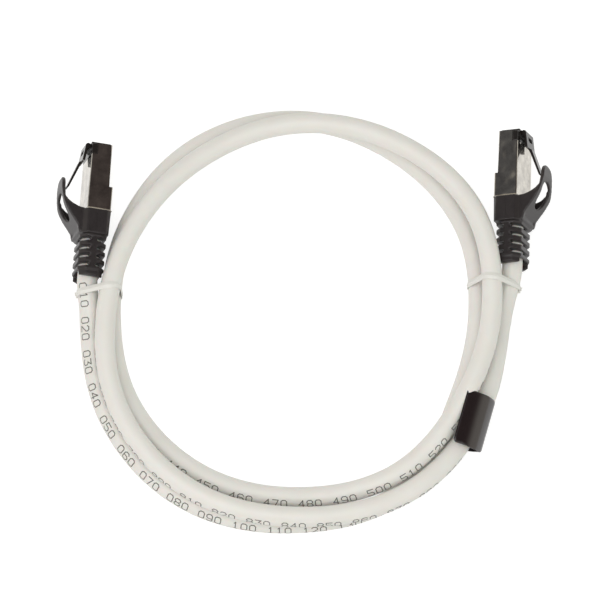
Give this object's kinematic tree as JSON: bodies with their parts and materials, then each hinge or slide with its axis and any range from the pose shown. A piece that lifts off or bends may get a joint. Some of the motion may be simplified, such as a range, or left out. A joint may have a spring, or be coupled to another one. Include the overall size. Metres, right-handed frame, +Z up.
{
  "type": "ethernet patch cable",
  "caption": "Shielded 8P8C patch cable, wound into a flat coil held by twist ties, with snagless black boots, hinged latch guards, latches and a wrapped tag.",
  "frame": {"origin": "on the floor, midway between the two plugs", "axes": "+Z up from the floor the coil lies on, +Y the way both plugs point, +X from plug a to plug b"},
  "size_m": [0.1454, 0.13, 0.0171],
  "materials": {
    "jacket": "semi-matt soft PVC",
    "tie": "satin PVC film over wire",
    "tag_film": "glossy vinyl film",
    "plug_plastic": "moulded polycarbonate",
    "nickel_shield": "nickel plated sheet",
    "contact_gold": "gold plated blades",
    "load_bar": "moulded polycarbonate",
    "conductor": "polyethylene insulation",
    "screen_foil": "folded back foil and braid",
    "boot_rubber": "satin moulded elastomer"
  },
  "bodies": {
    "cable": {"cable_coil": "jacket", "cable_tail_a": "jacket", "cable_tail_b": "jacket", "tie_left": "tie", "tie_right": "tie", "tag": "tag_film", "plug_body_a": "plug_plastic", "plug_shield_a": "nickel_shield", "contacts_a": "contact_gold", "load_bar_a": "load_bar", "conductors_a": "conductor", "screen_a": "screen_foil", "jacket_end_a": "jacket", "boot_a": "boot_rubber", "plug_body_b": "plug_plastic", "plug_shield_b": "nickel_shield", "contacts_b": "contact_gold", "load_bar_b": "load_bar", "conductors_b": "conductor", "screen_b": "screen_foil", "jacket_end_b": "jacket", "boot_b": "boot_rubber"},
    "guard_a": {"latch_guard_a": "boot_rubber"},
    "latch_a": {"latch_a": "plug_plastic"},
    "guard_b": {"latch_guard_b": "boot_rubber"},
    "latch_b": {"latch_b": "plug_plastic"}
  },
  "joints": [
    {"name": "guard_a_press", "type": "hinge", "parent": "cable", "child": "guard_a", "pos_m": [-0.06677, -0.009, 0.00851], "axis": [-0.2432, -0.0068, -0.97], "range_deg": [0, 10], "stiffness_Nm_per_rad": 0.02},
    {"name": "latch_a_press", "type": "hinge", "parent": "cable", "child": "latch_a", "pos_m": [-0.06396, 0.018, 0.00762], "axis": [0.2432, 0.0068, 0.97], "range_deg": [0, 13], "stiffness_Nm_per_rad": 0.005},
    {"name": "guard_b_press", "type": "hinge", "parent": "cable", "child": "guard_b", "pos_m": [0.06543, -0.00537, 0.00918], "axis": [-0.3657, 0.0339, 0.9301], "range_deg": [0, 10], "stiffness_Nm_per_rad": 0.02},
    {"name": "latch_b_press", "type": "hinge", "parent": "cable", "child": "latch_b", "pos_m": [0.06544, 0.02177, 0.00819], "axis": [0.3657, -0.0339, -0.9301], "range_deg": [0, 13], "stiffness_Nm_per_rad": 0.005}
  ],
  "couplings": [
    {"joint": "latch_a_press", "follows": "guard_a_press", "ratio": 1.3},
    {"joint": "latch_b_press", "follows": "guard_b_press", "ratio": 1.3}
  ]
}
